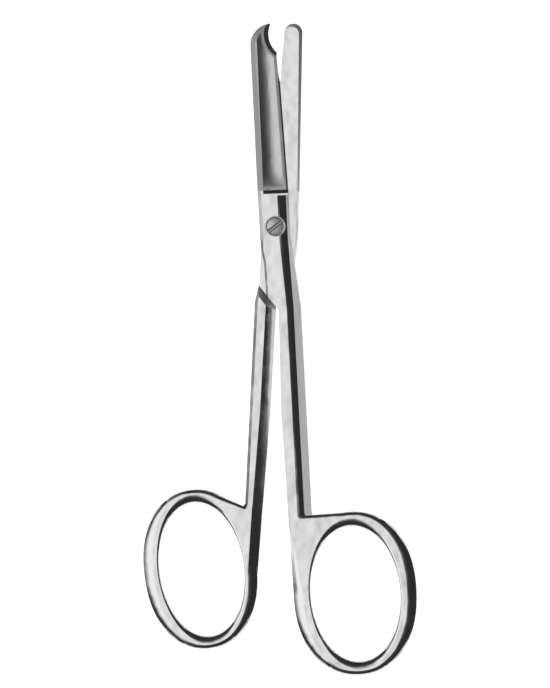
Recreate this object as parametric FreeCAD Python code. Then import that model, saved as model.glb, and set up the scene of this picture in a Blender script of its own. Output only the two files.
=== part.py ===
import FreeCAD, Part
import math
import os

os.makedirs("parts", exist_ok=True)

# Suture scissors, lying flat. Millimetres. X to the right, Y towards the tips, Z up.
# The origin is on the pivot axis, level with the underside of the joint.
# Each half is drawn in its own closed frame: u towards its finger ring, v towards the tips,
# w outwards from the plane where the halves slide on each other. The plain half is the same
# construction turned over about its long axis.

# Rest position: the angle between the halves, from blades closed
OPEN_AT_REST = 4.9

# Joint
JOINT_THICKNESS = 4.2
LAP_CLEARANCE = 0.04
JOINT_TOP = 7.25
JOINT_END_SLOPE_WIDTH = 0.7
PIVOT_LEVEL = -1.5
NECK_TOP = -4.6
NECK_FOOT = -7.2
LAP_END_OUT = 2.42
LAP_END_DOWN = 14.3
LAP_END_SLOPE = 44.0
SHOULDER_SLOPE = 50.0
SHOULDER_CLEARANCE = 0.2
SHOULDER_RAKE = 2.1
WING_BEVEL_WIDTH = 0.7
WING_BEVEL_WIDTH_AT_NECK = 0.45
WING_BEVEL_DROP = 0.4
WING_LAP_BEVEL_WIDTH = 0.4
LAP_BEVEL_DROP = 0.4
BAND_TOP = 6.15

# Pivot screw
SCREW_HEAD_DIAMETER = 3.8
SCREW_HEAD_HEIGHT = 1.0
SCREW_HEAD_DOME = 0.15
SCREW_HEAD_CHAMFER = 0.25
SCREW_HEAD_CLEARANCE = 0.12
SCREW_SEAT_CLEARANCE = 0.02
SCREW_SHANK_DIAMETER = 2.4
SCREW_SHANK_CLEARANCE = 0.03
SCREW_THREAD_DIAMETER = 2.2
SCREW_THREAD_CLEARANCE = 0.01
SCREW_END_CHAMFER = 0.2
SLOT_WIDTH = 0.8
SLOT_DEPTH = 0.5
SLOT_ANGLE = 38.0

# Blades, common to both halves
BLADE_STEP = 0.4
BLADE_TIP_THICKNESS = 1.5
BLADE_FACE_TILT = 5.0
SPINE_BEVEL_WIDTH = 1.15
SPINE_BEVEL_DROP = 0.75
CUTTING_BEVEL_WIDTH = 0.35
CUTTING_LAND = 0.55
EDGE_FLAT = 0.05
HOLLOW_DEPTH_AT_JOINT = 0.5
HOLLOW_DEPTH_AT_TIP = 0.26
HOLLOW_END = 8.1
HOLLOW_RUN_IN = 4.0
HOLLOW_START_DEPTH = 0.02
BLADE_OVERLAP = 1.0

# Hook blade
HOOK_SPINE_AT_JOINT = 3.27
HOOK_SPINE_AT_NOSE = 3.46
HOOK_EDGE_AT_JOINT = 2.92
HOOK_EDGE_AT_HEEL = 1.78
HOOK_LENGTH = 40.6
HOOK_NOSE_RADIUS = 4.3
HOOK_TIP_OUT = 0.75
NOTCH_FLOOR_OUT = 0.27
NOTCH_FLOOR_FROM_TIP = 2.6
NOTCH_LENGTH = 5.8
NOTCH_WALL = 0.65
NOTCH_BEVEL_SLOPE = 38.0
NOTCH_LAND = 0.4

# Plain blade
PLAIN_SPINE_AT_JOINT = 4.55
PLAIN_SPINE_AT_TIP = 3.75
PLAIN_EDGE_AT_JOINT = 1.25
PLAIN_EDGE_AT_TIP = -0.12
PLAIN_LENGTH = 40.75
PLAIN_INNER_BEVEL_WIDTH = 0.65

# Shanks
SHANK_TOP = -17.0
SHANK_MIDDLE = -37.0
BAND_LEAD_WIDTH = 0.5
BAND_LEAD_DROP = 0.06
OUTER_BAND_WIDTH = 0.9
OUTER_BAND_DROP = 0.48
OUTER_SIDE_WIDTH = 1.5
OUTER_SIDE_DROP = 1.85
JOINT_BAND_WIDTH = 1.25
JOINT_BAND_DROP = 0.65
JOINT_SIDE_WIDTH = 0.5
JOINT_SIDE_DROP = 0.8
UNDER_CHAMFER_WIDTH = 0.6
UNDER_CHAMFER_DROP = 0.53
INNER_CHAMFER = 0.35
NEST_BEVEL_WIDTH = 2.1
NEST_BEVEL_SLOPE = 38.0
NEST_CLEARANCE = 0.25

HOOK_OUTER_AT_JOINT = 2.88
HOOK_OUTER_FLARE_TOP = -1.5
HOOK_OUTER_FLARE_FOOT = -16.4
HOOK_OUTER_AT_SHANK = 4.45
HOOK_OUTER_AT_ROOT = 4.85
HOOK_INNER_AT_TOP = 0.0
HOOK_INNER_AT_MIDDLE = -0.38
HOOK_WING_AT_PIVOT = 3.15
HOOK_WING_AT_NECK = 3.05
HOOK_WING_BELOW_NECK = 2.62

PLAIN_OUTER_AT_JOINT = 2.66
PLAIN_OUTER_FLARE_TOP = -11.2
PLAIN_OUTER_FLARE_FOOT = -15.2
PLAIN_OUTER_AT_SHANK = 3.45
PLAIN_OUTER_AT_ROOT = 3.68
PLAIN_INNER_AT_TOP = -0.85
PLAIN_INNER_AT_MIDDLE = -0.62
PLAIN_WING_AT_PIVOT = 4.62
PLAIN_WING_AT_NECK = 4.5
PLAIN_WING_BELOW_NECK = 4.25

# Finger rings
RING_THICKNESS = 3.5
RING_STOP_GAP = 0.2
RING_SQUARENESS = 2.19
HOLE_SQUARENESS = 2.0
CROWN_TILT = 43.0
RING_CROWN_SIDE = 1.9
RING_CROWN_END = 0.75
HOLE_CROWN_SIDE = 0.35
HOLE_CROWN_END = 1.5
ROOT_FILLET = 0.7
WEB_SINK = 0.08

HOOK_RING_OUT = 12.82
HOOK_RING_DOWN = 74.0
HOOK_RING_HALF_LENGTH = 16.34
HOOK_RING_HALF_WIDTH = 12.31
HOOK_RING_LEAN = -0.56
HOOK_RING_WALL_END = 2.72
HOOK_RING_WALL_SIDE = 3.32
HOOK_HOLE_SHIFT_OUT = 0.05
HOOK_HOLE_SHIFT_DOWN = 0.12
HOOK_HOLE_LEAN = -2.75
HOOK_ROOT_IN_RING = 0.34

PLAIN_RING_OUT = 12.05
PLAIN_RING_DOWN = 69.14
PLAIN_RING_HALF_LENGTH = 15.99
PLAIN_RING_HALF_WIDTH = 11.28
PLAIN_RING_LEAN = 9.47
PLAIN_RING_WALL_END = 2.5
PLAIN_RING_WALL_SIDE = 2.82
PLAIN_HOLE_SHIFT_OUT = -0.25
PLAIN_HOLE_SHIFT_DOWN = 0.05
PLAIN_HOLE_LEAN = 10.85
PLAIN_ROOT_IN_RING = 2.95

# Worked out from the sizes above
LAP = LAP_CLEARANCE / 2
JOINT_FACE = JOINT_THICKNESS / 2
BLADE_FACE = JOINT_FACE - BLADE_STEP
RING_FACE = RING_THICKNESS / 2
NEST_TAN = math.tan(math.radians(NEST_BEVEL_SLOPE))
SCREW_SEAT = JOINT_FACE - SCREW_HEAD_HEIGHT
CROWN_DROP_SHARE = math.tan(math.radians(CROWN_TILT / 2))
CROWN_DEPTH = max(RING_CROWN_SIDE, HOLE_CROWN_END) * CROWN_DROP_SHARE
CROWN_STEPS = 4
RUN_IN_STEPS = 4
WALL_SHARES = (-1.0, -0.6, -0.2, 0.2, 0.6, 1.0)
OVAL_POINTS = 24
BESIDE = 10.0
BEYOND = max(HOOK_LENGTH, PLAIN_LENGTH) + BESIDE


class HalfSizes:
    """The sizes in which the two halves differ."""


HOOK = HalfSizes()
HOOK.flare_top = HOOK_OUTER_FLARE_TOP
HOOK.flare_foot = HOOK_OUTER_FLARE_FOOT
HOOK.outer_joint = HOOK_OUTER_AT_JOINT
HOOK.outer_shank = HOOK_OUTER_AT_SHANK
HOOK.outer_root = HOOK_OUTER_AT_ROOT
HOOK.inner_top = HOOK_INNER_AT_TOP
HOOK.inner_middle = HOOK_INNER_AT_MIDDLE
HOOK.spine = HOOK_SPINE_AT_JOINT
HOOK.wing_pivot = HOOK_WING_AT_PIVOT
HOOK.wing_neck = HOOK_WING_AT_NECK
HOOK.wing_below = HOOK_WING_BELOW_NECK
HOOK.ring = (HOOK_RING_OUT, -HOOK_RING_DOWN)
HOOK.ring_half = (HOOK_RING_HALF_LENGTH, HOOK_RING_HALF_WIDTH)
HOOK.ring_lean = HOOK_RING_LEAN
HOOK.hole = (HOOK_RING_OUT + HOOK_HOLE_SHIFT_OUT, -HOOK_RING_DOWN - HOOK_HOLE_SHIFT_DOWN)
HOOK.hole_half = (HOOK_RING_HALF_LENGTH - HOOK_RING_WALL_END, HOOK_RING_HALF_WIDTH - HOOK_RING_WALL_SIDE)
HOOK.hole_lean = HOOK_HOLE_LEAN
HOOK.root = HOOK_RING_HALF_LENGTH - HOOK_RING_DOWN - HOOK_ROOT_IN_RING

PLAIN = HalfSizes()
PLAIN.flare_top = PLAIN_OUTER_FLARE_TOP
PLAIN.flare_foot = PLAIN_OUTER_FLARE_FOOT
PLAIN.outer_joint = PLAIN_OUTER_AT_JOINT
PLAIN.outer_shank = PLAIN_OUTER_AT_SHANK
PLAIN.outer_root = PLAIN_OUTER_AT_ROOT
PLAIN.inner_top = PLAIN_INNER_AT_TOP
PLAIN.inner_middle = PLAIN_INNER_AT_MIDDLE
PLAIN.spine = PLAIN_SPINE_AT_JOINT
PLAIN.wing_pivot = PLAIN_WING_AT_PIVOT
PLAIN.wing_neck = PLAIN_WING_AT_NECK
PLAIN.wing_below = PLAIN_WING_BELOW_NECK
PLAIN.ring = (PLAIN_RING_OUT, -PLAIN_RING_DOWN)
PLAIN.ring_half = (PLAIN_RING_HALF_LENGTH, PLAIN_RING_HALF_WIDTH)
PLAIN.ring_lean = PLAIN_RING_LEAN
PLAIN.hole = (PLAIN_RING_OUT + PLAIN_HOLE_SHIFT_OUT, -PLAIN_RING_DOWN - PLAIN_HOLE_SHIFT_DOWN)
PLAIN.hole_half = (PLAIN_RING_HALF_LENGTH - PLAIN_RING_WALL_END, PLAIN_RING_HALF_WIDTH - PLAIN_RING_WALL_SIDE)
PLAIN.hole_lean = PLAIN_HOLE_LEAN
PLAIN.root = PLAIN_RING_HALF_LENGTH - PLAIN_RING_DOWN - PLAIN_ROOT_IN_RING


def vector(u, v, w=0.0):
    return FreeCAD.Vector(u, v, w)


def outline(points, w):
    """A closed straight-sided outline at height w."""
    corners = [vector(u, v, w) for u, v in points]
    return Part.makePolygon(corners + corners[:1])


def section(points, v):
    """A closed straight-sided cross-section at length v."""
    corners = [vector(u, v, w) for u, w in points]
    return Part.makePolygon(corners + corners[:1])


def prism(wire, height):
    return Part.Face(wire).extrude(vector(0, 0, height))


def loft(wires, straight=True):
    return Part.makeLoft(wires, True, straight)


def between(v, v0, value0, v1, value1):
    """Value at v on a straight run from value0 at v0 to value1 at v1, held beyond its ends."""
    share = min(max((v - v0) / (v1 - v0), 0.0), 1.0)
    return value0 + (value1 - value0) * share


def outer_edge(half, v):
    """The ring side of the joint and shank: straight joint, flare, then a shank that widens."""
    if v > half.flare_foot:
        return between(v, half.flare_top, half.outer_joint, half.flare_foot, half.outer_shank)
    return between(v, half.flare_foot, half.outer_shank, half.root, half.outer_root)


def ring_side(half):
    """Where the ring comes nearest to the other half: distance out, and how far down."""
    length, width = half.ring_half
    lean = math.radians(half.ring_lean)
    reach = math.hypot(width * math.cos(lean), length * math.sin(lean))
    down = (length ** 2 - width ** 2) * math.sin(lean) * math.cos(lean) / reach
    return half.ring[0] - reach, half.ring[1] - down


def inner_edge(half, v):
    """The inner side of a shank bows gently, and runs to the side of its ring."""
    at_root = RING_STOP_GAP / 2
    if v < half.root:
        side_out, side_down = ring_side(half)
        return between(v, half.root, at_root, side_down, side_out)
    if v < SHANK_MIDDLE:
        return between(v, SHANK_MIDDLE, half.inner_middle, half.root, at_root)
    return between(v, SHANK_TOP, half.inner_top, SHANK_MIDDLE, half.inner_middle)


def handle_face(half, v):
    """Half the thickness of the handle: it thins from the joint to the ring."""
    return between(v, half.flare_foot, JOINT_FACE, half.root, RING_FACE)


def nest_line(v, u):
    """Height of the plain half's nesting bevel at u in the closed hook half's frame."""
    bevel_top = -inner_edge(PLAIN, v) - NEST_BEVEL_WIDTH
    return handle_face(PLAIN, v) - (u - bevel_top) * NEST_TAN


def plain_inner_profile(v):
    """Plain half: the inner side is bevelled where the hook half passes over it."""
    side = inner_edge(PLAIN, v)
    face = handle_face(PLAIN, v)
    foot = -face + NEST_BEVEL_WIDTH * NEST_TAN
    middle = NEST_BEVEL_WIDTH / 2
    return [
        (side + INNER_CHAMFER, face),
        (side, face - INNER_CHAMFER),
        (side, foot + EDGE_FLAT),
        (side, foot),
        (side + middle, foot - middle * NEST_TAN),
        (side + NEST_BEVEL_WIDTH, -face),
    ]


def hook_inner_profile(v):
    """Hook half: the inner side is rebated underneath to clear the plain half's bevel."""
    side = inner_edge(HOOK, v)
    face = handle_face(HOOK, v)
    rise = NEST_CLEARANCE / math.cos(math.radians(NEST_BEVEL_SLOPE))
    wall = max(-inner_edge(PLAIN, v), side) + NEST_CLEARANCE
    lip = min(nest_line(v, side) + rise, face - 3 * EDGE_FLAT)
    foot = nest_line(v, wall) + rise
    return [
        (side + EDGE_FLAT, face),
        (side, face - EDGE_FLAT),
        (side, lip),
        (wall, foot),
        (wall + EDGE_FLAT, foot - EDGE_FLAT),
        (wall + INNER_CHAMFER, -face),
    ]


def crown_inset(width, depth):
    """How far a rounded edge of that width is drawn in, at a depth below the flat face."""
    tilt = math.radians(CROWN_TILT)
    share = min(depth / (width * CROWN_DROP_SHARE), 1.0)
    turn = math.acos(1 - share * (1 - math.cos(tilt)))
    return width * (1 - math.sin(turn) / math.sin(tilt))


def ring_inner_profile(half):
    """The rounded edges of the ring, where the shank's inner side runs into it."""
    side = ring_side(half)[0]
    depths = [0.0, CROWN_DEPTH / CROWN_STEPS, CROWN_DEPTH]
    upper = [(side + crown_inset(RING_CROWN_SIDE, depth), RING_FACE - depth) for depth in depths]
    return upper + [(u, -w) for u, w in upper[::-1]]


def outer_profile(half, v):
    """The ring side of the bar, from the lap side up: chamfer, side, long bevel and its lead."""
    side = outer_edge(half, v)
    face = handle_face(half, v)
    share = between(v, half.flare_top, 0.0, half.flare_foot, 1.0)
    band_width = JOINT_BAND_WIDTH + (OUTER_BAND_WIDTH - JOINT_BAND_WIDTH) * share
    band_drop = JOINT_BAND_DROP + (OUTER_BAND_DROP - JOINT_BAND_DROP) * share
    side_width = JOINT_SIDE_WIDTH + (OUTER_SIDE_WIDTH - JOINT_SIDE_WIDTH) * share
    side_drop = JOINT_SIDE_DROP + (OUTER_SIDE_DROP - JOINT_SIDE_DROP) * share
    return [
        (side - UNDER_CHAMFER_WIDTH, -face),
        (side, UNDER_CHAMFER_DROP - face),
        (side, face - band_drop - side_drop),
        (side - side_width, face - band_drop),
        (side - side_width - band_width, face - BAND_LEAD_DROP),
        (side - side_width - band_width - BAND_LEAD_WIDTH, face),
    ]


def square_outer_profile(half):
    """The ring side of the bar above the bevel: it stands square up to the joint face."""
    side = outer_edge(half, JOINT_TOP)
    return [(side, JOINT_FACE * share) for share in WALL_SHARES]


def bar_side(half, w):
    """How far out the ring side of the bar stands at its root, at height w."""
    profile = outer_profile(half, half.root)
    for (low_u, low_w), (high_u, high_w) in zip(profile, profile[1:]):
        if w <= high_w:
            return between(w, low_w, low_u, high_w, high_u)
    return profile[-1][0]


def bar(half, inner_profile):
    """The forged bar of a half, from the top of the joint to the side of its ring."""
    square = [inner_profile(JOINT_TOP) + square_outer_profile(half) for _ in range(2)]
    head = loft([section(points, v) for points, v in zip(square, [JOINT_TOP, BAND_TOP])])
    upper = [BAND_TOP, half.flare_top, half.flare_foot, SHANK_TOP]
    joint = [section(inner_profile(v) + outer_profile(half, v), v) for v in upper]
    lower = [upper[-1], SHANK_MIDDLE, half.root]
    shank = [section(inner_profile(v) + outer_profile(half, v), v) for v in lower]
    ring_level = ring_side(half)[1]
    wall = outer_edge(half, ring_level)
    end_wall = [(wall, RING_FACE * share) for share in WALL_SHARES]
    end = section(ring_inner_profile(half) + end_wall, ring_level)
    return head.fuse([loft(joint), loft(shank), loft([shank[-1], end])])


def rake(w):
    """How far up the raked lap end lies at height w: it overhangs, and covers the shoulder."""
    return SHOULDER_RAKE * (JOINT_FACE - w) / JOINT_FACE


def wing(half, lap_bevel):
    """The wide side of the joint plate, ending in the slanted and raked lap end."""
    reach = half.inner_top + LAP_END_OUT
    end_down = -LAP_END_DOWN - reach * math.tan(math.radians(LAP_END_SLOPE))
    levels = [JOINT_TOP, PIVOT_LEVEL, NECK_TOP, NECK_FOOT]
    edges = [half.spine, half.wing_pivot, half.wing_neck, half.wing_below]

    def plate(bevel, neck_bevel, w):
        end = rake(w) - LAP_END_DOWN
        bevels = [bevel, bevel, neck_bevel, neck_bevel]
        side = [(drawn_in - edge, v) for drawn_in, edge, v in zip(bevels, edges, levels)]
        inside = half.inner_top + EDGE_FLAT
        raked_end = [(neck_bevel - LAP_END_OUT, end), (inside, end_down + rake(w))]
        return outline(side + raked_end + [(inside, JOINT_TOP)], w)

    foot = LAP + LAP_BEVEL_DROP if lap_bevel else LAP
    shoulder = plate(0.0, 0.0, JOINT_FACE - WING_BEVEL_DROP)
    lower = loft([plate(0.0, 0.0, foot), shoulder])
    upper = loft([shoulder, plate(WING_BEVEL_WIDTH, WING_BEVEL_WIDTH_AT_NECK, JOINT_FACE)])
    if not lap_bevel:
        return lower.fuse(upper)
    under = loft([plate(WING_LAP_BEVEL_WIDTH, WING_LAP_BEVEL_WIDTH, LAP), plate(0.0, 0.0, foot)])
    return lower.fuse([upper, under])


def lap_space():
    """Everything on the lap side above the shoulder, which is milled away for the other half."""
    rise = math.tan(math.radians(SHOULDER_SLOPE))
    corner = rake(-LAP) - LAP_END_DOWN - SHOULDER_CLEARANCE
    low = corner - (BESIDE + LAP_END_OUT) * rise
    high = corner + (BESIDE - LAP_END_OUT) * rise
    region = [(-BESIDE, low), (BESIDE, high), (BESIDE, BEYOND), (-BESIDE, BEYOND)]
    down = vector(0, rake(JOINT_THICKNESS) - rake(0.0), -JOINT_THICKNESS)
    return Part.Face(outline(region, LAP)).extrude(down)


def oval_point(centre, half_sizes, lean, squareness, turn, w):
    """A point of an oval: length along v, leaning away from the shank by the given angle."""
    length, width = half_sizes
    cosine = math.cos(math.radians(lean))
    sine = math.sin(math.radians(lean))
    across = math.copysign(abs(math.cos(turn)) ** (2 / squareness), math.cos(turn)) * width
    along = math.copysign(abs(math.sin(turn)) ** (2 / squareness), math.sin(turn)) * length
    u = centre[0] + across * cosine + along * sine
    v = centre[1] - across * sine + along * cosine
    return vector(u, v, w)


def oval(centre, half_sizes, lean, squareness, w):
    """A closed smooth oval at height w."""
    turns = [2 * math.pi * step / OVAL_POINTS for step in range(OVAL_POINTS)]
    points = [oval_point(centre, half_sizes, lean, squareness, turn, w) for turn in turns]
    curve = Part.BSplineCurve()
    curve.interpolate(points, PeriodicFlag=True)
    return Part.Wire(curve.toShape())


def crown_levels(side_crown, end_crown):
    """Heights of the ring's outlines, and how far each is drawn in at its ends and sides."""
    upper = []
    for step in range(CROWN_STEPS + 1):
        depth = CROWN_DEPTH * (step / CROWN_STEPS) ** 2
        inset = (crown_inset(end_crown, depth), crown_inset(side_crown, depth))
        upper.append((RING_FACE - depth, inset))
    return [(-w, inset) for w, inset in upper] + upper[::-1]


def ring_body(half):
    wires = []
    for w, inset in crown_levels(RING_CROWN_SIDE, RING_CROWN_END):
        sizes = (half.ring_half[0] - inset[0], half.ring_half[1] - inset[1])
        wires.append(oval(half.ring, sizes, half.ring_lean, RING_SQUARENESS, w))
    return loft(wires)


def ring_hole(half):
    wires = []
    for w, flare in crown_levels(HOLE_CROWN_SIDE, HOLE_CROWN_END):
        sizes = (half.hole_half[0] + flare[0], half.hole_half[1] + flare[1])
        wires.append(oval(half.hole, sizes, half.hole_lean, HOLE_SQUARENESS, w))
    return loft(wires)


def web(half):
    """The flat web in the corner between shank and ring. Its top runs smoothly into the ring."""
    ring_out, ring_down = ring_side(half)
    plateau = ring_out + RING_CROWN_SIDE + EDGE_FLAT
    under = inner_edge(half, half.root) + NEST_BEVEL_WIDTH + EDGE_FLAT
    over = bar_side(half, RING_FACE) - EDGE_FLAT

    def edge(inset, w):
        corner = half.root - inset[0]
        side = bar_side(half, w)
        rise = ROOT_FILLET * (1 - math.cos(math.pi / 4))
        first = vector(side, corner + ROOT_FILLET, w)
        middle = vector(side + rise, corner + rise, w)
        last = vector(side + ROOT_FILLET, corner, w)
        sizes = [size - drawn_in - WEB_SINK for size, drawn_in in zip(half.ring_half, inset)]
        turns = [math.radians(degree) for degree in range(45, 180)]
        shape = (half.ring, sizes, half.ring_lean, RING_SQUARENESS)
        points = [oval_point(*shape, turn, w) for turn in turns]
        crown = max(points, key=lambda p: math.atan2(p.y - last.y, p.x - last.x))
        centre = vector(half.ring[0], half.ring[1], w)
        floor = vector(plateau, ring_down, w)
        top = vector(over if w > 0 else under, corner + ROOT_FILLET, w)
        path = [last, crown, centre, floor, top, first]
        lines = [Part.Arc(first, middle, last).toShape()]
        lines += [Part.LineSegment(a, b).toShape() for a, b in zip(path, path[1:])]
        return Part.Wire(lines)

    return loft([edge(inset, w) for w, inset in crown_levels(RING_CROWN_SIDE, RING_CROWN_END)])


def end_slope(half):
    """The space above the slope in which the joint's face falls to the blade's, off its ridge."""
    start = JOINT_TOP - JOINT_END_SLOPE_WIDTH
    ridge = SPINE_BEVEL_WIDTH - half.spine
    points = [(start, JOINT_FACE), (JOINT_TOP, BLADE_FACE), (JOINT_TOP, BEYOND), (start, BEYOND)]
    corners = [vector(ridge, v, w) for v, w in points]
    return Part.Face(Part.makePolygon(corners + corners[:1])).extrude(vector(BESIDE, 0, 0))


def handle(half, inner_profile, lap_bevel):
    """Bar, joint wing, web and ring as one forging, with the lap milled and the hole open."""
    forging = bar(half, inner_profile).fuse([wing(half, lap_bevel), ring_body(half), web(half)])
    return forging.cut([lap_space(), ring_hole(half), end_slope(half)])


def blade_body(shape, foot, wall):
    """A blade blank with its long spine bevel: shape(inset, w) gives its outline."""
    low = BLADE_FACE - SPINE_BEVEL_DROP
    lower = prism(shape(0.0, foot), low - foot)
    upper = loft([shape(0.0, low), shape(SPINE_BEVEL_WIDTH, BLADE_FACE)])
    return lower.fuse([upper] + wall)


def tilted_face(spine, length):
    """The space above the blade's outer face, which falls towards the edge and the tip."""
    ridge = SPINE_BEVEL_WIDTH - spine
    fall = math.tan(math.radians(BLADE_FACE_TILT))

    def side(v, face):
        points = [(ridge - BESIDE, face), (ridge, face), (ridge + BESIDE, face - BESIDE * fall)]
        return section(points + [(ridge + BESIDE, BEYOND), (ridge - BESIDE, BEYOND)], v)

    return loft([side(JOINT_TOP, BLADE_FACE), side(length, BLADE_TIP_THICKNESS)])


def face_height(v, length, from_ridge):
    """Height of the blade's outer face, a distance from the ridge towards the edge."""
    ridge = between(v, JOINT_TOP, BLADE_FACE, length, BLADE_TIP_THICKNESS)
    return ridge - from_ridge * math.tan(math.radians(BLADE_FACE_TILT))


def cutting_bevel(edge_base, edge_tip, spine, length):
    """The space outside the ground cutting edge."""
    def side(v, edge):
        top = face_height(v, length, edge + spine - SPINE_BEVEL_WIDTH - CUTTING_BEVEL_WIDTH)
        slope = [(edge, LAP + EDGE_FLAT), (edge - CUTTING_BEVEL_WIDTH, top)]
        out = edge + BESIDE
        around = [(edge - CUTTING_BEVEL_WIDTH, BEYOND), (out, BEYOND), (out, LAP + EDGE_FLAT)]
        return section(slope + around, v)

    return loft([side(JOINT_TOP, edge_base), side(length, edge_tip)])


def hollow(edge_base, edge_tip, spine, length):
    """The hollow grind: a long round-bottomed channel that runs out above the joint."""
    full = HOLLOW_END + HOLLOW_RUN_IN

    def channel(v, depth):
        edge = between(v, JOINT_TOP, edge_base, length, edge_tip)
        left = SPINE_BEVEL_WIDTH - spine
        right = edge - CUTTING_BEVEL_WIDTH - CUTTING_LAND
        start = vector(left, v, face_height(v, length, 0.0))
        end = vector(right, v, face_height(v, length, right - left))
        middle = (start + end) * 0.5
        middle.z -= depth
        over = [end, vector(right, v, BEYOND), vector(left, v, BEYOND), start]
        edges = [Part.Arc(start, middle, end).toShape()]
        edges += [Part.LineSegment(a, b).toShape() for a, b in zip(over, over[1:])]
        return Part.Wire(edges)

    sections = []
    for step in range(RUN_IN_STEPS + 1):
        left_to_go = 1 - step / RUN_IN_STEPS
        rise = (HOLLOW_DEPTH_AT_JOINT - HOLLOW_START_DEPTH) * left_to_go ** 2
        sections.append(channel(full - HOLLOW_RUN_IN * left_to_go, HOLLOW_DEPTH_AT_JOINT - rise))
    return loft(sections).fuse(loft([sections[-1], channel(length, HOLLOW_DEPTH_AT_TIP)]))


def notch_circle():
    """The circle of the hook's crescent, through its tip, its floor and its heel."""
    tip = vector(HOOK_TIP_OUT, HOOK_LENGTH)
    floor = vector(NOTCH_FLOOR_OUT, HOOK_LENGTH - NOTCH_FLOOR_FROM_TIP)
    heel = vector(HOOK_EDGE_AT_HEEL, HOOK_LENGTH - NOTCH_LENGTH)
    return Part.Circle(tip, floor, heel)


def notch(margin):
    """The space of the crescent, widened by a margin, with its bevel on the outer side."""
    circle = notch_circle()
    radius = circle.Radius + margin
    base = vector(circle.Center.x, circle.Center.y, LAP - NOTCH_WALL)
    wall = Part.makeCylinder(radius, 2 * NOTCH_WALL, base)
    cone_base = base + vector(0, 0, 2 * NOTCH_WALL)
    height = JOINT_FACE - NOTCH_WALL
    flare = height / math.tan(math.radians(NOTCH_BEVEL_SLOPE))
    cone = Part.makeCone(radius, radius + flare, height, cone_base)
    return wall.fuse(cone)


def hook_outline(inset, w):
    """Plan of the hook blade before its notch: straight spine, round nose, flat tip."""
    spine_low = inset - HOOK_SPINE_AT_JOINT
    spine_high = inset - HOOK_SPINE_AT_NOSE
    radius = HOOK_NOSE_RADIUS - inset
    nose_top = HOOK_LENGTH - inset
    centre_v = nose_top - radius
    corner = vector(spine_high, centre_v, w)
    half_turn = math.cos(math.pi / 4) * radius
    middle = vector(spine_high + radius - half_turn, centre_v + half_turn, w)
    crown = vector(spine_high + radius, nose_top, w)
    beyond_tip = vector(HOOK_EDGE_AT_HEEL, nose_top, w)
    edge_foot = vector(HOOK_EDGE_AT_JOINT, JOINT_TOP - BLADE_OVERLAP, w)
    foot = vector(spine_low, JOINT_TOP - BLADE_OVERLAP, w)
    path = [beyond_tip, edge_foot, foot, corner]
    edges = [Part.Arc(corner, middle, crown).toShape()]
    edges.append(Part.LineSegment(crown, beyond_tip).toShape())
    edges += [Part.LineSegment(a, b).toShape() for a, b in zip(path, path[1:])]
    return Part.Wire(edges)


def plain_outline(inset, w, spine_inset=None):
    """Plan of the plain blade: tapering sides and a round tip. The spine may be drawn in less."""
    if spine_inset is None:
        spine_inset = inset
    radius = (PLAIN_SPINE_AT_TIP + PLAIN_EDGE_AT_TIP) / 2 - inset / 2
    centre = vector((PLAIN_EDGE_AT_TIP - PLAIN_SPINE_AT_TIP + inset) / 2, 0)
    centre.y = PLAIN_LENGTH - inset - radius
    spine = vector(centre.x - radius, centre.y, w)
    crown = vector(centre.x, centre.y + radius, w)
    edge = vector(centre.x + radius, centre.y, w)
    edge_foot = vector(PLAIN_EDGE_AT_JOINT, JOINT_TOP - BLADE_OVERLAP, w)
    foot = vector(spine_inset - PLAIN_SPINE_AT_JOINT, JOINT_TOP - BLADE_OVERLAP, w)
    path = [edge, edge_foot, foot, spine]
    edges = [Part.Arc(spine, crown, edge).toShape()]
    edges += [Part.LineSegment(a, b).toShape() for a, b in zip(path, path[1:])]
    return Part.Wire(edges)


def hook_blade():
    blank = blade_body(hook_outline, LAP, [])
    span = (HOOK_EDGE_AT_JOINT, HOOK_EDGE_AT_HEEL, HOOK_SPINE_AT_JOINT, HOOK_LENGTH)
    channel = hollow(*span)
    margin = SPINE_BEVEL_WIDTH
    inside = prism(hook_outline(margin, LAP), BEYOND).cut(notch(NOTCH_LAND))
    channel = channel.common(inside)
    spaces = [tilted_face(HOOK_SPINE_AT_JOINT, HOOK_LENGTH), cutting_bevel(*span), channel]
    return blank.cut(spaces + [notch(0.0)])


def plain_blade():
    foot = LAP + LAP_BEVEL_DROP
    face = plain_outline(PLAIN_INNER_BEVEL_WIDTH, LAP, WING_LAP_BEVEL_WIDTH)
    bevel = loft([face, plain_outline(0.0, foot)])
    blank = blade_body(plain_outline, foot, [bevel])
    span = (PLAIN_EDGE_AT_JOINT, PLAIN_EDGE_AT_TIP, PLAIN_SPINE_AT_TIP, PLAIN_LENGTH)
    spaces = [tilted_face(PLAIN_SPINE_AT_TIP, PLAIN_LENGTH), cutting_bevel(*span)]
    channel = hollow(*span).common(prism(plain_outline(SPINE_BEVEL_WIDTH, LAP), BEYOND))
    return blank.cut(spaces + [channel])


def screw_passage(head_side):
    """The space that the screw needs in a half: counterbore and bore, or threaded bore."""
    if not head_side:
        radius = SCREW_THREAD_DIAMETER / 2 + SCREW_THREAD_CLEARANCE
        return Part.makeCylinder(radius, 2 * JOINT_FACE, vector(0, 0, -LAP))
    bore_radius = SCREW_SHANK_DIAMETER / 2 + SCREW_SHANK_CLEARANCE
    bore = Part.makeCylinder(bore_radius, 2 * JOINT_FACE, vector(0, 0, -LAP))
    seat_radius = SCREW_HEAD_DIAMETER / 2 + SCREW_HEAD_CLEARANCE
    seat = Part.makeCylinder(seat_radius, JOINT_FACE, vector(0, 0, SCREW_SEAT))
    return bore.fuse(seat)


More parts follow.
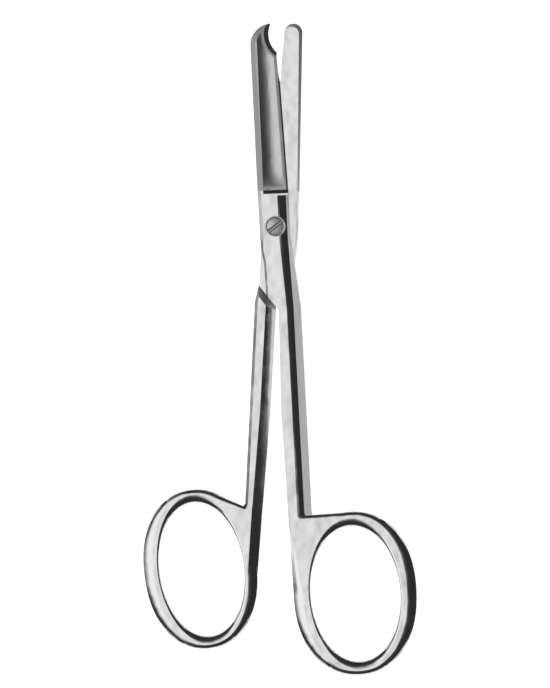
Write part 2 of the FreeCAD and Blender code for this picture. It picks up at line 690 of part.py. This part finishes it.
def screw():
    """Slotted pivot screw: domed head, smooth bearing, thread in the plain half."""
    head = SCREW_HEAD_DIAMETER / 2
    bearing = SCREW_SHANK_DIAMETER / 2
    thread = SCREW_THREAD_DIAMETER / 2
    seat = SCREW_SEAT + SCREW_SEAT_CLEARANCE
    end = -JOINT_FACE
    rim = JOINT_FACE - SCREW_HEAD_CHAMFER
    profile = [
        (0, end),
        (thread - SCREW_END_CHAMFER, end),
        (thread, end + SCREW_END_CHAMFER),
        (thread, -LAP),
        (bearing, LAP),
        (bearing, seat),
        (head, seat),
        (head, rim),
        (head - SCREW_HEAD_CHAMFER, JOINT_FACE),
    ]
    points = [vector(r, 0, w) for r, w in profile]
    crown = vector(0, 0, JOINT_FACE + SCREW_HEAD_DOME)
    rim_point = points[-1]
    shoulder = vector(rim_point.x / 2, 0, JOINT_FACE + SCREW_HEAD_DOME * 0.75)
    edges = [Part.LineSegment(a, b).toShape() for a, b in zip(points, points[1:])]
    edges.append(Part.Arc(rim_point, shoulder, crown).toShape())
    edges.append(Part.LineSegment(crown, points[0]).toShape())
    body = Part.Face(Part.Wire(edges)).revolve(vector(0, 0), vector(0, 0, 1), 360)
    length = SCREW_HEAD_DIAMETER * 2
    round_level = JOINT_FACE - SLOT_DEPTH + SLOT_WIDTH / 2
    slot = Part.makeBox(length, SLOT_WIDTH, JOINT_FACE)
    slot.translate(vector(-length / 2, -SLOT_WIDTH / 2, round_level))
    round_start = vector(-length / 2, 0, round_level)
    slot = slot.fuse(Part.makeCylinder(SLOT_WIDTH / 2, length, round_start, vector(1, 0, 0)))
    slot.rotate(vector(0, 0), vector(0, 0, 1), SLOT_ANGLE)
    return body.cut(slot)


def to_rest(shape, turned_over, turn):
    """From a half's own closed frame to its place in the scissors lying at rest."""
    placed = shape.copy()
    if turned_over:
        placed.rotate(vector(0, 0), vector(0, 1, 0), 180)
    placed.translate(vector(0, 0, JOINT_FACE))
    placed.rotate(vector(0, 0), vector(0, 0, 1), turn)
    return placed


def save(name, shape):
    solid = shape.removeSplitter()
    solid.exportStep("parts/" + name + ".step")


hook_handle = handle(HOOK, hook_inner_profile, False)
plain_handle = handle(PLAIN, plain_inner_profile, True)
hook_half = hook_handle.fuse(hook_blade()).cut(screw_passage(True))
plain_half = plain_handle.fuse(plain_blade()).cut(screw_passage(False))
save("hook_blade_half", to_rest(hook_half, False, OPEN_AT_REST / 2))
save("plain_blade_half", to_rest(plain_half, True, -OPEN_AT_REST / 2))
save("pivot_screw", to_rest(screw(), False, 0.0))
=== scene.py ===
import math

import bpy
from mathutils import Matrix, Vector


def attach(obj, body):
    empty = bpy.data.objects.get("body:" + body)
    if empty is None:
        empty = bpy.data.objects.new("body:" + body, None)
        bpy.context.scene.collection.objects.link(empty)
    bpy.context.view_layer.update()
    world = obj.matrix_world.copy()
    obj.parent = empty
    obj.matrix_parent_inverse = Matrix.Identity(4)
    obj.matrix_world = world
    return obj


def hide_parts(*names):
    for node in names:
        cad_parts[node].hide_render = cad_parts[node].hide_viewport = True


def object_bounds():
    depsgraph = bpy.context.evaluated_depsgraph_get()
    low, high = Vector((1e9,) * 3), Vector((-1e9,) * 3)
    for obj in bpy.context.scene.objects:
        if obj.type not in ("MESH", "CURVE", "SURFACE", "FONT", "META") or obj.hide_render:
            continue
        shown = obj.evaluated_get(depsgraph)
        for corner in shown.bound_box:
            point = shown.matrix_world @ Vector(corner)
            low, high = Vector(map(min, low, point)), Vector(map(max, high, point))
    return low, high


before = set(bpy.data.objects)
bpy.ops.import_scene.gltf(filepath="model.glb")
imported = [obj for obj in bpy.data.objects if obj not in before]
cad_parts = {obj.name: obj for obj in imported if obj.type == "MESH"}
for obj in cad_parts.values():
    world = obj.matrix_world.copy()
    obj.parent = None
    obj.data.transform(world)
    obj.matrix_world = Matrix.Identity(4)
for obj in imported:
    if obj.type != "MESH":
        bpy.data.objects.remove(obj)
cad_low, cad_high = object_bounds()


# Upper half with the hook blade: one drop forging of hardened stainless steel, ground flat at its
# joint and hollow along its blade. Flats, rings and shanks are polished, while the blade's bevels,
# the steep sides and the hollow keep a satin grind.
WELD_DISTANCE = 0.000002
FORGED_SHARP_ANGLE = 21.0
LEVEL_NORMAL = 0.9998

STEEL_COLOUR = (0.76, 0.76, 0.76)
STEEL_ROUGHNESS = 0.16
STEEL_ROUGHNESS_SPREAD = 0.05
CLOUDS_PER_METRE = 160.0
GRAIN_PER_METRE = 900.0
GRAIN_STRETCH = 14.0
GRAIN_DETAIL = 3.0
GRAIN_DEPTH = 0.0000006
WAVES_PER_METRE = 300.0
WAVE_DETAIL = 1.0
WAVE_DEPTH = 0.00012
EDGE_ROUNDING = 0.00006
EDGE_SAMPLES = 6

# Satin faces are known by how far their normals point up: between these least and greatest shares
SIDE_NORMAL = (0.42, 0.68)
HOLLOW_NORMAL = (0.86001, 0.99999)
HOOK_BEVEL_NORMAL = (0.824, 0.86)
BLADE_FROM_Y = 0.0076
SATIN_ROUGHNESS = 0.55
HOLLOW_SATIN = 0.6


def new_node(tree, kind, place, **settings):
    node = tree.nodes.new(kind)
    node.location = place
    for name, value in settings.items():
        setattr(node, name, value)
    return node


def calculated(tree, place, operation, *values):
    """One sum on plain numbers and other nodes' outputs. It gives the socket of the result."""
    node = new_node(tree, "ShaderNodeMath", place, operation=operation)
    for socket, value in zip(node.inputs, values):
        if isinstance(value, bpy.types.NodeSocket):
            tree.links.new(value, socket)
        else:
            socket.default_value = value
    return node.outputs[0]


def middle_and_range(limits):
    low, high = limits
    return (low + high) / 2, (high - low) / 2


def polishing_grain():
    """Node group: hand-polished waves, and fine marks that run along the instrument."""
    tree = bpy.data.node_groups.new("polishing_grain", "ShaderNodeTree")
    numbers = ("Marks per metre", "Stretch", "Roughness", "Spread", "Depth")
    for name in numbers + ("Waves per metre", "Wave depth"):
        tree.interface.new_socket(name, in_out="INPUT", socket_type="NodeSocketFloat")
    tree.interface.new_socket("Rounded normal", in_out="INPUT", socket_type="NodeSocketVector")
    tree.interface.new_socket("Roughness", in_out="OUTPUT", socket_type="NodeSocketFloat")
    tree.interface.new_socket("Normal", in_out="OUTPUT", socket_type="NodeSocketVector")
    link = tree.links.new
    inputs = new_node(tree, "NodeGroupInput", (-900, 0))
    outputs = new_node(tree, "NodeGroupOutput", (600, 0))
    place = new_node(tree, "ShaderNodeTexCoord", (-900, 300))

    squeeze = new_node(tree, "ShaderNodeCombineXYZ", (-700, 150))
    squeeze.inputs["X"].default_value = 1.0
    squeeze.inputs["Z"].default_value = 1.0
    shrink = calculated(tree, (-800, 50), "DIVIDE", 1.0, inputs.outputs["Stretch"])
    link(shrink, squeeze.inputs["Y"])
    along = new_node(tree, "ShaderNodeVectorMath", (-500, 250), operation="MULTIPLY")
    link(place.outputs["Object"], along.inputs[0])
    link(squeeze.outputs[0], along.inputs[1])
    marks = new_node(tree, "ShaderNodeTexNoise", (-300, 250))
    marks.inputs["Detail"].default_value = GRAIN_DETAIL
    link(along.outputs[0], marks.inputs["Vector"])
    link(inputs.outputs["Marks per metre"], marks.inputs["Scale"])

    cloud = new_node(tree, "ShaderNodeTexNoise", (-300, -50))
    cloud.inputs["Scale"].default_value = CLOUDS_PER_METRE
    link(place.outputs["Object"], cloud.inputs["Vector"])
    spread, roughness = inputs.outputs["Spread"], inputs.outputs["Roughness"]
    clouded = calculated(tree, (-60, -50), "MULTIPLY_ADD", cloud.outputs["Fac"], spread, roughness)
    link(clouded, outputs.inputs["Roughness"])

    waves = new_node(tree, "ShaderNodeTexNoise", (-300, -350))
    waves.inputs["Detail"].default_value = WAVE_DETAIL
    link(place.outputs["Object"], waves.inputs["Vector"])
    link(inputs.outputs["Waves per metre"], waves.inputs["Scale"])
    swell = new_node(tree, "ShaderNodeBump", (0, -350))
    link(inputs.outputs["Wave depth"], swell.inputs["Distance"])
    link(waves.outputs["Fac"], swell.inputs["Height"])
    link(inputs.outputs["Rounded normal"], swell.inputs["Normal"])
    bump = new_node(tree, "ShaderNodeBump", (200, 200))
    link(inputs.outputs["Depth"], bump.inputs["Distance"])
    link(marks.outputs["Fac"], bump.inputs["Height"])
    link(swell.outputs[0], bump.inputs["Normal"])
    link(bump.outputs[0], outputs.inputs["Normal"])
    return tree


def steel(name, colour, roughness, grain_group):
    """Bare stainless steel: metal with polishing marks, satin faces and slightly rounded edges."""
    material = bpy.data.materials.new(name)
    material.use_nodes = True
    tree = material.node_tree
    tree.nodes.clear()
    output = new_node(tree, "ShaderNodeOutputMaterial", (600, 0))
    shader = new_node(tree, "ShaderNodeBsdfPrincipled", (300, 0))
    shader.inputs["Metallic"].default_value = 1.0
    shader.inputs["Base Color"].default_value = (*colour, 1.0)
    grain = new_node(tree, "ShaderNodeGroup", (0, 0), node_tree=grain_group)
    grain.inputs["Marks per metre"].default_value = GRAIN_PER_METRE
    grain.inputs["Stretch"].default_value = GRAIN_STRETCH
    grain.inputs["Spread"].default_value = STEEL_ROUGHNESS_SPREAD
    grain.inputs["Depth"].default_value = GRAIN_DEPTH
    grain.inputs["Waves per metre"].default_value = WAVES_PER_METRE
    grain.inputs["Wave depth"].default_value = WAVE_DEPTH
    satin = new_node(tree, "ShaderNodeAttribute", (-500, -250), attribute_name="satin_grind")
    ground = new_node(tree, "ShaderNodeMapRange", (-250, -250))
    ground.inputs["To Min"].default_value = roughness
    ground.inputs["To Max"].default_value = SATIN_ROUGHNESS
    rounding = new_node(tree, "ShaderNodeBevel", (-250, 0), samples=EDGE_SAMPLES)
    rounding.inputs["Radius"].default_value = EDGE_ROUNDING
    link = tree.links.new
    link(satin.outputs["Fac"], ground.inputs["Value"])
    link(ground.outputs["Result"], grain.inputs["Roughness"])
    link(rounding.outputs[0], grain.inputs["Rounded normal"])
    link(grain.outputs["Roughness"], shader.inputs["Roughness"])
    link(grain.outputs["Normal"], shader.inputs["Normal"])
    link(shader.outputs[0], output.inputs["Surface"])
    return material


def satin_share(tree, inputs, upward, upright):
    """How satin a face is: wholly on blade bevels and steep sides, and partly in the hollow."""
    spot = new_node(tree, "GeometryNodeInputPosition", (-1700, -900))
    along = new_node(tree, "ShaderNodeSeparateXYZ", (-1500, -900))
    tree.links.new(spot.outputs[0], along.inputs[0])
    on_blade = calculated(tree, (-1300, -900), "GREATER_THAN", along.outputs["Y"], BLADE_FROM_Y)
    bevel_limits = inputs.outputs["Bevel normal"], inputs.outputs["Bevel range"]
    sloped = calculated(tree, (-1300, -700), "COMPARE", upward, *bevel_limits)
    bevel = calculated(tree, (-1100, -700), "MULTIPLY", on_blade, sloped)
    side = calculated(tree, (-1100, -900), "COMPARE", upright, *middle_and_range(SIDE_NORMAL))
    gentle = calculated(tree, (-1300, -1100), "COMPARE", upright, *middle_and_range(HOLLOW_NORMAL))
    partly = calculated(tree, (-1100, -1100), "MULTIPLY", gentle, HOLLOW_SATIN)
    hollow = calculated(tree, (-900, -1100), "MULTIPLY", partly, on_blade)
    whole = calculated(tree, (-900, -800), "MAXIMUM", bevel, side)
    return calculated(tree, (-700, -900), "MAXIMUM", whole, hollow)


def grinding_tree():
    """Geometry nodes: weld a forging's surface, keep its flats flat, and mark its satin faces."""
    tree = bpy.data.node_groups.new("ground_forging", "GeometryNodeTree")
    tree.interface.new_socket("Geometry", in_out="INPUT", socket_type="NodeSocketGeometry")
    for name in ("Weld distance", "Sharp angle", "Bevel normal", "Bevel range"):
        tree.interface.new_socket(name, in_out="INPUT", socket_type="NodeSocketFloat")
    tree.interface.new_socket("Steel", in_out="INPUT", socket_type="NodeSocketMaterial")
    tree.interface.new_socket("Geometry", in_out="OUTPUT", socket_type="NodeSocketGeometry")
    link = tree.links.new
    inputs = new_node(tree, "NodeGroupInput", (-1900, 0))
    normal = new_node(tree, "GeometryNodeInputNormal", (-1700, -500))
    direction = new_node(tree, "ShaderNodeSeparateXYZ", (-1500, -500))
    link(normal.outputs["Normal"], direction.inputs[0])
    upward = direction.outputs["Z"]
    upright = calculated(tree, (-1300, -500), "ABSOLUTE", upward)

    weld = new_node(tree, "GeometryNodeMergeByDistance", (-550, 0))
    link(inputs.outputs["Weld distance"], weld.inputs["Distance"])
    faces = new_node(tree, "GeometryNodeSetShadeSmooth", (-300, 0), domain="FACE")
    link(calculated(tree, (-700, -500), "LESS_THAN", upright, LEVEL_NORMAL), faces.inputs["Shade Smooth"])
    edges = new_node(tree, "GeometryNodeSetShadeSmooth", (-50, 0), domain="EDGE")
    angle = new_node(tree, "GeometryNodeInputMeshEdgeAngle", (-550, -250))
    gentle = new_node(tree, "FunctionNodeCompare", (-300, -250), operation="LESS_THAN")
    link(angle.outputs["Unsigned Angle"], gentle.inputs["A"])
    link(inputs.outputs["Sharp angle"], gentle.inputs["B"])
    link(gentle.outputs["Result"], edges.inputs["Shade Smooth"])
    satin = new_node(
        tree, "GeometryNodeStoreNamedAttribute", (200, 0), data_type="FLOAT", domain="FACE"
    )
    satin.inputs["Name"].default_value = "satin_grind"
    link(satin_share(tree, inputs, upward, upright), satin.inputs["Value"])
    whole = new_node(tree, "GeometryNodeRealizeInstances", (400, 0))
    finish = new_node(tree, "GeometryNodeSetMaterial", (600, 0))
    link(inputs.outputs["Steel"], finish.inputs["Material"])
    outputs = new_node(tree, "NodeGroupOutput", (800, 0))

    steps = (inputs, weld, faces, edges, satin, whole, finish, outputs)
    for before, after in zip(steps, steps[1:]):
        link(before.outputs["Geometry"], after.inputs["Geometry"])
    return tree


def finished_piece(name, node, tree, sharp_angle, material, bevel_limits=(0.0, 0.0)):
    """A finished surface over a solid of the frame: welded, ground, and given its steel."""
    piece = bpy.data.objects.new(name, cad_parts[node].data.copy())
    bpy.context.collection.objects.link(piece)
    modifier = piece.modifiers.new("finish", "NODES")
    modifier.node_group = tree
    bevel_normal, bevel_range = middle_and_range(bevel_limits)
    values = {
        "Weld distance": WELD_DISTANCE,
        "Sharp angle": math.radians(sharp_angle),
        "Bevel normal": bevel_normal,
        "Bevel range": bevel_range,
        "Steel": material,
    }
    for socket in tree.interface.items_tree:
        if socket.in_out == "INPUT" and socket.name in values:
            modifier[socket.identifier] = values[socket.name]
    depsgraph = bpy.context.evaluated_depsgraph_get()
    mesh = bpy.data.meshes.new_from_object(piece.evaluated_get(depsgraph))
    piece.modifiers.remove(modifier)
    piece.data = mesh
    return piece


grain_group = polishing_grain()
forging_tree = grinding_tree()
forged_steel = steel("forged_steel", STEEL_COLOUR, STEEL_ROUGHNESS, grain_group)
hook_half = finished_piece(
    "hook_half_polished",
    "hook_blade_half",
    forging_tree,
    FORGED_SHARP_ANGLE,
    forged_steel,
    HOOK_BEVEL_NORMAL,
)
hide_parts("hook_blade_half")
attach(hook_half, "hook_half")


# Lower half with the plain, round-tipped blade. The same steel and the same grinding as the
# upper half, with a bevelled shank that nests under it.
PLAIN_BEVEL_NORMAL = (0.5, 0.9)

plain_half = finished_piece(
    "plain_half_polished",
    "plain_blade_half",
    forging_tree,
    FORGED_SHARP_ANGLE,
    forged_steel,
    PLAIN_BEVEL_NORMAL,
)
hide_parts("plain_blade_half")
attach(plain_half, "plain_half")


# Pivot screw, turned from stainless bar with a milled slot. It is screwed into the lower half
# and its head lies in the counterbore of the upper half.
SCREW_COLOUR = (0.68, 0.68, 0.68)
SCREW_ROUGHNESS = 0.36
SCREW_SHARP_ANGLE = 25.0

screw_steel = steel("screw_steel", SCREW_COLOUR, SCREW_ROUGHNESS, grain_group)
screw = finished_piece(
    "pivot_screw_turned",
    "pivot_screw",
    forging_tree,
    SCREW_SHARP_ANGLE,
    screw_steel,
)
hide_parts("pivot_screw")
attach(screw, "plain_half")


# Pale floor with an upturned rim, which closes the view behind the scissors from any side.
# It shows white, and keeps a soft shadow under the steel.
FLOOR_RADIUS = 8.0
RIM_RADIUS = 0.6
RIM_TURNS = 8
FLOOR_SIDES = 96
FLOOR_DROP = 0.00002
FLOOR_COLOUR = 0.85
FLOOR_GLOW = 0.84


def floor_mesh():
    """A flat disc whose edge curves up through a quarter of a circle."""
    mesh = bpy.data.meshes.new("pale_floor")
    profile = [(FLOOR_RADIUS, 0.0)]
    for step in range(1, RIM_TURNS + 1):
        turn = math.pi / 2 * step / RIM_TURNS
        out = FLOOR_RADIUS + RIM_RADIUS * math.sin(turn)
        profile.append((out, RIM_RADIUS * (1 - math.cos(turn))))
    vertices = [(0.0, 0.0, -FLOOR_DROP)]
    for side in range(FLOOR_SIDES):
        angle = 2 * math.pi * side / FLOOR_SIDES
        for out, up in profile:
            vertices.append((out * math.cos(angle), out * math.sin(angle), up - FLOOR_DROP))
    rows = len(profile)
    faces = []
    for side in range(FLOOR_SIDES):
        here = 1 + side * rows
        there = 1 + (side + 1) % FLOOR_SIDES * rows
        faces.append((0, here, there))
        for row in range(rows - 1):
            faces.append((here + row, here + row + 1, there + row + 1, there + row))
    mesh.from_pydata(vertices, [], faces)
    mesh.shade_smooth()
    return mesh


def floor_material():
    """Matt white that takes shadows, with a glow seen only by the eye, in metal and through glass."""
    material = bpy.data.materials.new("pale_floor")
    material.use_nodes = True
    tree = material.node_tree
    tree.nodes.clear()
    output = new_node(tree, "ShaderNodeOutputMaterial", (600, 0))
    diffuse = new_node(tree, "ShaderNodeBsdfDiffuse", (0, 150))
    diffuse.inputs["Color"].default_value = (FLOOR_COLOUR, FLOOR_COLOUR, FLOOR_COLOUR, 1.0)
    glow = new_node(tree, "ShaderNodeEmission", (0, -50))
    both = new_node(tree, "ShaderNodeAddShader", (300, 0))
    ray = new_node(tree, "ShaderNodeLightPath", (-900, 0))
    camera_ray, glossy_ray = ray.outputs["Is Camera Ray"], ray.outputs["Is Glossy Ray"]
    seen = calculated(tree, (-650, 0), "MAXIMUM", camera_ray, glossy_ray)
    shown = calculated(tree, (-450, 0), "MAXIMUM", seen, ray.outputs["Is Transmission Ray"])
    link = tree.links.new
    link(calculated(tree, (-250, 0), "MULTIPLY", shown, FLOOR_GLOW), glow.inputs["Strength"])
    link(diffuse.outputs[0], both.inputs[0])
    link(glow.outputs[0], both.inputs[1])
    link(both.outputs[0], output.inputs["Surface"])
    return material


floor = bpy.data.objects.new("pale_floor", floor_mesh())
floor.data.materials.append(floor_material())
bpy.context.collection.objects.link(floor)


# Soft studio light: a long bright screen overhead, which reaches far to the left and stops
# short on the right. The room beyond is dark. The steel mirrors both in light and dark bands.
SCREEN_CENTRE = (-0.38, 0.0, 0.0)
SCREEN_HALF_LENGTH = 0.52
SCREEN_HALF_WIDTH = 0.36
SCREEN_EDGE = 0.6
ROOM_EDGE = 1.35
SCREEN_LIGHT = 1.12
ROOM_LIGHT = 0.03

world = bpy.data.worlds.new("studio")
bpy.context.scene.world = world
world.use_nodes = True
sky = world.node_tree
sky.nodes.clear()
direction = new_node(sky, "ShaderNodeTexCoord", (-1000, 0))
offset = new_node(sky, "ShaderNodeVectorMath", (-800, 0), operation="SUBTRACT")
offset.inputs[1].default_value = SCREEN_CENTRE
share = new_node(sky, "ShaderNodeVectorMath", (-600, 0), operation="MULTIPLY")
share.inputs[1].default_value = (1 / SCREEN_HALF_LENGTH, 1 / SCREEN_HALF_WIDTH, 0.0)
reach = new_node(sky, "ShaderNodeVectorMath", (-400, 0), operation="LENGTH")
fade = new_node(sky, "ShaderNodeMapRange", (-200, 0), interpolation_type="SMOOTHSTEP")
fade.inputs["From Min"].default_value = SCREEN_EDGE
fade.inputs["From Max"].default_value = ROOM_EDGE
fade.inputs["To Min"].default_value = SCREEN_LIGHT
fade.inputs["To Max"].default_value = ROOM_LIGHT
background = new_node(sky, "ShaderNodeBackground", (0, 0))
background.inputs["Color"].default_value = (1.0, 1.0, 1.0, 1.0)
sky_output = new_node(sky, "ShaderNodeOutputWorld", (200, 0))
sky.links.new(direction.outputs["Generated"], offset.inputs[0])
sky.links.new(offset.outputs[0], share.inputs[0])
sky.links.new(share.outputs[0], reach.inputs[0])
sky.links.new(reach.outputs["Value"], fade.inputs["Value"])
sky.links.new(fade.outputs["Result"], background.inputs["Strength"])
sky.links.new(background.outputs[0], sky_output.inputs["Surface"])


# Camera straight above, far off through a long lens, as the catalogue picture was taken.
# It is placed by the pixel at which the picture shows the pivot.
PICTURE_WIDTH_PX = 550
PICTURE_HEIGHT_PX = 688
METRES_PER_PX = 0.0002
PIVOT_PX = (275.35, 226.3)
CAMERA_DISTANCE = 2.0
SENSOR_MM = 36.0

picture_height = PICTURE_HEIGHT_PX * METRES_PER_PX
centre_x = (PICTURE_WIDTH_PX / 2 - PIVOT_PX[0]) * METRES_PER_PX
centre_y = (PIVOT_PX[1] - PICTURE_HEIGHT_PX / 2) * METRES_PER_PX
camera = bpy.data.objects.new("camera", bpy.data.cameras.new("camera"))
camera.data.sensor_width = SENSOR_MM
camera.data.lens = SENSOR_MM * CAMERA_DISTANCE / picture_height
camera.location = (centre_x, centre_y, cad_high.z + CAMERA_DISTANCE)
bpy.context.collection.objects.link(camera)
bpy.context.scene.camera = camera

bpy.context.scene.view_settings.view_transform = "Standard"
